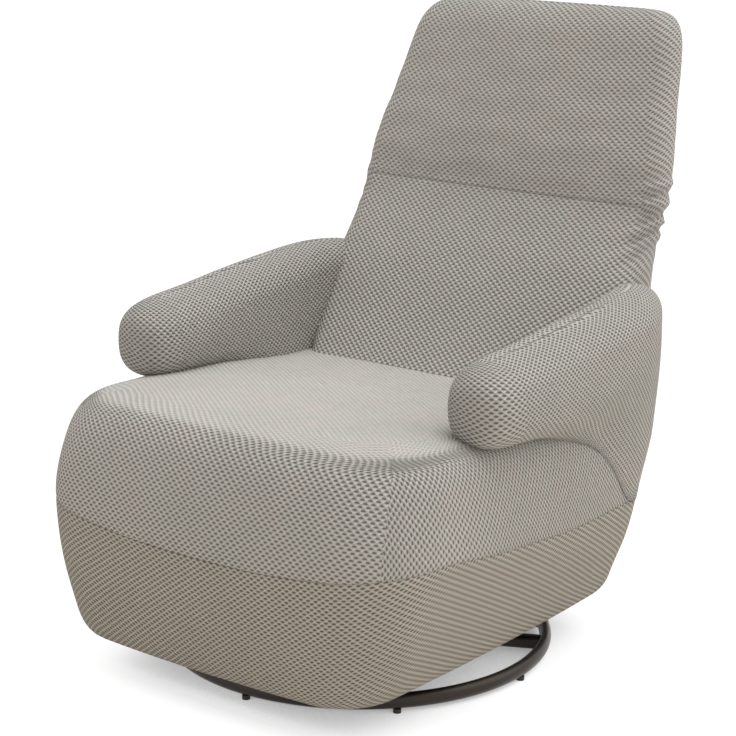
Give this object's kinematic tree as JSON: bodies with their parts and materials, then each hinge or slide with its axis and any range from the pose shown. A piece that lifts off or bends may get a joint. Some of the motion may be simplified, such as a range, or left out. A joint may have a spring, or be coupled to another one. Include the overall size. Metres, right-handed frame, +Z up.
{
  "type": "swivel rocker",
  "caption": "Padded easy chair on a low round tube base that swivels and rocks, with sloping padded arms and a tilting head pad.",
  "frame": {"origin": "middle of the chair's footprint on the floor", "axes": "+X to the sitter's left, -Y the way the sitter faces, +Z up"},
  "size_m": [0.8082, 1.0039, 1.031],
  "materials": {
    "knit_cover": "Warm light grey three-dimensional knit with rows of small pits",
    "lower_band_cover": "The same knit turned a quarter, reading a little yellower",
    "dark_bronze_paint": "Dark bronze-brown powder coat, satin",
    "glide_plastic": "Dark brown nylon",
    "bearing_steel": "Ground steel, greased",
    "cage_brass": "Stamped brass",
    "bush_bronze": "Sintered bronze",
    "zinc_steel": "Bright zinc plate",
    "black_steel": "Black coated pressed steel",
    "spring_steel": "Oiled spring wire",
    "stop_rubber": "Black rubber",
    "disc_plastic": "Natural acetal",
    "frame_wood": "Birch plywood, unfinished",
    "dust_cloth": "Black spun cloth",
    "webbing": "Woven elastic strap"
  },
  "bodies": {
    "base": {"base_ring": "dark_bronze_paint", "glides": "glide_plastic", "cross_arms": "dark_bronze_paint", "hub_disc": "dark_bronze_paint", "lower_race": "bearing_steel", "bearing_balls": "bearing_steel", "ball_cage": "cage_brass", "king_bolt": "zinc_steel", "king_washer": "zinc_steel", "king_nut": "zinc_steel"},
    "turntable": {"upper_race": "bearing_steel", "swivel_plate": "black_steel", "pivot_bush": "bush_bronze", "tilt_brackets": "black_steel", "bracket_bolts": "zinc_steel", "bracket_nuts": "zinc_steel", "rock_spindle": "zinc_steel", "spindle_circlips": "bearing_steel", "spindle_spacers": "bush_bronze", "lower_spring_seats": "black_steel", "rock_springs_front": "spring_steel", "rock_springs_rear": "spring_steel"},
    "headrest": {"hinge_moving_plates": "black_steel", "headrest_board": "frame_wood", "headrest_cushion": "knit_cover"},
    "rocker": {"seat_cushion": "knit_cover", "back_cushion": "knit_cover", "back_rear_pad": "knit_cover", "arm_pad_left": "knit_cover", "arm_pad_right": "knit_cover", "lower_pad_front": "lower_band_cover", "lower_pad_rear": "lower_band_cover", "lower_pad_left": "lower_band_cover", "lower_pad_right": "lower_band_cover", "rock_bushes": "bush_bronze", "rocker_bolts": "zinc_steel", "rocker_nuts": "zinc_steel", "arm_bolts": "zinc_steel", "hinge_pins": "zinc_steel", "rocker_frame": "black_steel", "hinge_fixed_plates": "black_steel", "arm_tubes": "black_steel", "arm_flanges": "black_steel", "upper_spring_seats": "black_steel", "seat_springs": "spring_steel", "spring_clips": "spring_steel", "rock_stops": "stop_rubber", "hinge_discs": "disc_plastic", "cross_rails": "frame_wood", "seat_side_boards": "frame_wood", "seat_front_board": "frame_wood", "seat_rear_board": "frame_wood", "corner_blocks": "frame_wood", "back_side_boards": "frame_wood", "back_lower_rail": "frame_wood", "back_top_rail": "frame_wood", "dust_cover": "dust_cloth", "back_webbing": "webbing"}
  },
  "joints": [
    {"name": "swivel", "type": "hinge", "parent": "base", "child": "turntable", "pos_m": [0, -0.0755, 0.0433], "axis": [0, 0, 1], "continuous": true},
    {"name": "rock", "type": "hinge", "parent": "turntable", "child": "rocker", "pos_m": [0, -0.0755, 0.15], "axis": [1, 0, 0], "range_deg": [-5, 5], "stiffness_Nm_per_rad": 700, "springref_deg": 1.89, "deforming": ["rock_springs_front", "rock_springs_rear"]},
    {"name": "headrest_tilt", "type": "hinge", "parent": "rocker", "child": "headrest", "pos_m": [0, 0.3425, 0.706], "axis": [1, 0, 0], "range_deg": [0, 30]}
  ]
}
